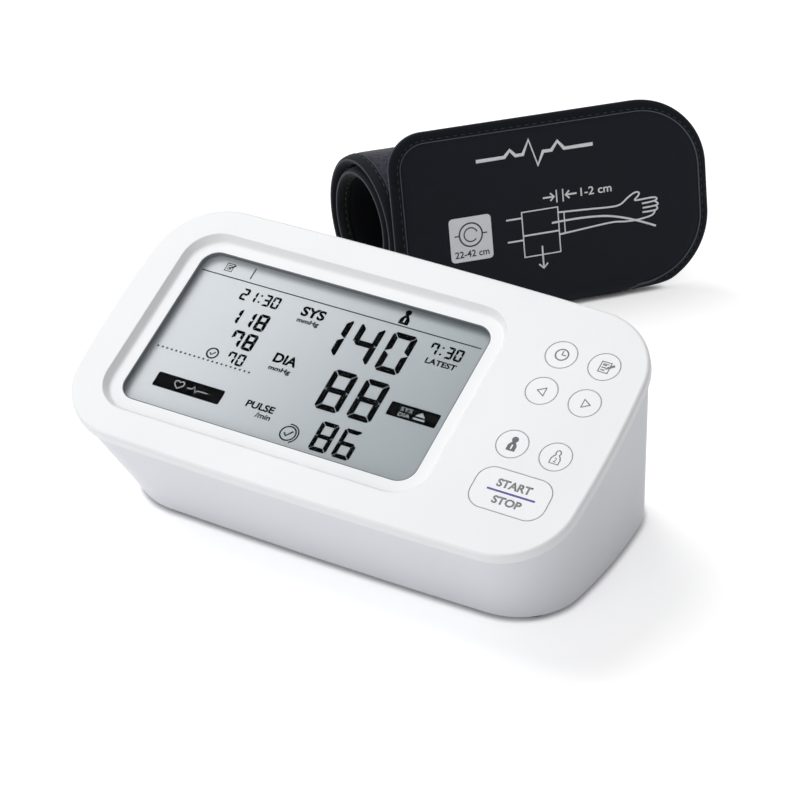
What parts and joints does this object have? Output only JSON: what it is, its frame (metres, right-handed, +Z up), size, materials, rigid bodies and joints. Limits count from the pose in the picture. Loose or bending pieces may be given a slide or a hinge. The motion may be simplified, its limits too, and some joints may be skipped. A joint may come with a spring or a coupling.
{
  "type": "blood pressure monitor",
  "caption": "Upper-arm blood pressure monitor: tilted console with a sunk display and flush buttons, and a rolled arm cuff standing behind it.",
  "frame": {"origin": "on the resting plane under the console's rubber feet, midway between its sides", "axes": "+X to the user's right, +Y to the back, +Z up"},
  "size_m": [0.1995, 0.2764, 0.0844],
  "materials": {
    "white_shell": "satin",
    "grey_shell": "satin",
    "clear_window": "gloss",
    "display_glass": "satin",
    "black_plastic": "matte",
    "conductive_rubber": "matte",
    "circuit_board": "satin",
    "plated_steel": "satin",
    "foot_rubber": "matte",
    "cell_jacket": "satin",
    "soft_tube": "satin",
    "printed_cloth": "woven",
    "loop_cloth": "brushed pile",
    "lining_cloth": "woven",
    "edge_tape": "woven tape",
    "hook_tape": "hook pile",
    "bladder_rubber": "matte",
    "curler_sheet": "satin"
  },
  "bodies": {
    "monitor": {"top_case": "white_shell", "bottom_case": "grey_shell", "display_window": "clear_window", "lcd_panel": "display_glass", "lcd_frame": "black_plastic", "lcd_connectors": "conductive_rubber", "main_board": "circuit_board", "board_screws": "plated_steel", "tact_switches": "black_plastic", "pressure_sensor": "plated_steel", "case_screws": "plated_steel", "rubber_feet": "foot_rubber", "battery_cells": "cell_jacket", "battery_contacts": "plated_steel", "battery_springs": "plated_steel", "pump_motor": "plated_steel", "pump_head": "black_plastic", "pump_cradle": "foot_rubber", "exhaust_valve": "black_plastic", "air_manifold": "black_plastic", "air_jack": "black_plastic", "dc_jack": "black_plastic", "air_tubes": "soft_tube"},
    "clock_key": {"clock_button": "white_shell"},
    "memo_key": {"memo_button": "white_shell"},
    "back_key": {"back_button": "white_shell"},
    "forward_key": {"forward_button": "white_shell"},
    "user_one_key": {"user_one_button": "white_shell"},
    "user_two_key": {"user_two_button": "white_shell"},
    "start_key": {"start_button": "white_shell"},
    "cover": {"battery_cover": "grey_shell"},
    "cuff": {"cuff_print_panel": "printed_cloth", "cuff_loop_cloth": "loop_cloth", "cuff_inner_cloth": "lining_cloth", "cuff_curler": "curler_sheet", "cuff_bladder": "bladder_rubber", "cuff_binding": "edge_tape", "cuff_hook_patch": "hook_tape", "cuff_tube_port": "black_plastic"}
  },
  "joints": [
    {"name": "clock_press", "type": "slide", "parent": "monitor", "child": "clock_key", "axis": [0, 0.4035, -0.915], "range_m": [0, 0.0006], "stiffness_N_per_m": 900},
    {"name": "memo_press", "type": "slide", "parent": "monitor", "child": "memo_key", "axis": [0, 0.4035, -0.915], "range_m": [0, 0.0006], "stiffness_N_per_m": 900},
    {"name": "back_press", "type": "slide", "parent": "monitor", "child": "back_key", "axis": [0, 0.4035, -0.915], "range_m": [0, 0.0006], "stiffness_N_per_m": 900},
    {"name": "forward_press", "type": "slide", "parent": "monitor", "child": "forward_key", "axis": [0, 0.4035, -0.915], "range_m": [0, 0.0006], "stiffness_N_per_m": 900},
    {"name": "user_one_press", "type": "slide", "parent": "monitor", "child": "user_one_key", "axis": [0, 0.4035, -0.915], "range_m": [0, 0.0006], "stiffness_N_per_m": 900},
    {"name": "user_two_press", "type": "slide", "parent": "monitor", "child": "user_two_key", "axis": [0, 0.4035, -0.915], "range_m": [0, 0.0006], "stiffness_N_per_m": 900},
    {"name": "start_press", "type": "slide", "parent": "monitor", "child": "start_key", "axis": [0, 0.4035, -0.915], "range_m": [0, 0.0006], "stiffness_N_per_m": 900},
    {"name": "cover_hinge", "type": "hinge", "parent": "monitor", "child": "cover", "pos_m": [0.01, -0.03285, 0.0012], "axis": [-1, 0, 0], "range_deg": [0, 80]},
    {"name": "cuff_lift", "type": "slide", "parent": "monitor", "child": "cuff", "axis": [0, 0, 1], "range_m": [0, 0.2]}
  ]
}
